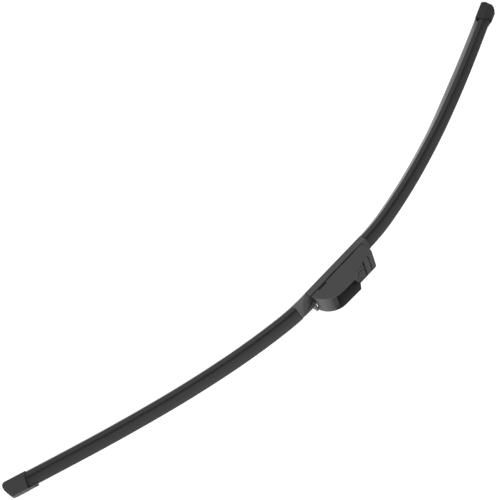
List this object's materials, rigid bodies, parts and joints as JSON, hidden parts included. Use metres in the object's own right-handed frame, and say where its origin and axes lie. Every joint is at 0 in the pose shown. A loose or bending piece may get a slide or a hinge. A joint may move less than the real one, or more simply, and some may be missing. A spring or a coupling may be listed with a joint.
{
  "type": "wiper blade",
  "caption": "Flat beam windscreen wiper blade: bowed rubber and spoiler on spring strips, capped ends, and a rocking connector for a hooked arm.",
  "frame": {"origin": "on the floor of the hook pocket in the connector, on the blade's middle plane, where the wiper arm's hook rests", "axes": "+X along the blade towards the connector's rounded nose, +Z away from the glass, -Y towards the spoiler's deep hollow face"},
  "size_m": [0.5814, 0.018, 0.1043],
  "materials": {
    "lip_rubber": "matte",
    "spring_steel": "satin",
    "spoiler": "matte",
    "cap_plastic": "matte",
    "tie_steel": "satin",
    "bracket_paint": "satin",
    "connector_plastic": "satin",
    "bush_plastic": "matte"
  },
  "bodies": {
    "adapter": {"adapter": "connector_plastic"},
    "tongue": {"release_tongue": "connector_plastic"},
    "blade": {"wiper_rubber": "lip_rubber", "strip_front": "spring_steel", "strip_rear": "spring_steel", "spoiler_near": "spoiler", "spoiler_far": "spoiler", "end_cap_near": "cap_plastic", "end_cap_far": "cap_plastic", "strip_tie_near": "tie_steel", "strip_tie_far": "tie_steel", "bracket": "bracket_paint", "sleeve_far": "connector_plastic", "fairing_near": "connector_plastic", "pivot_rivet": "tie_steel", "pivot_bush": "bush_plastic"}
  },
  "joints": [
    {"name": "blade_rock", "type": "hinge", "parent": "adapter", "child": "blade", "pos_m": [-0.005, 0, -0.0052], "axis": [0, 1, 0], "range_deg": [-8, 8]},
    {"name": "tongue_press", "type": "hinge", "parent": "adapter", "child": "tongue", "pos_m": [-0.01, 0, 0.0043], "axis": [0, -1, 0], "range_deg": [0, 8], "stiffness_Nm_per_rad": 0.05}
  ]
}
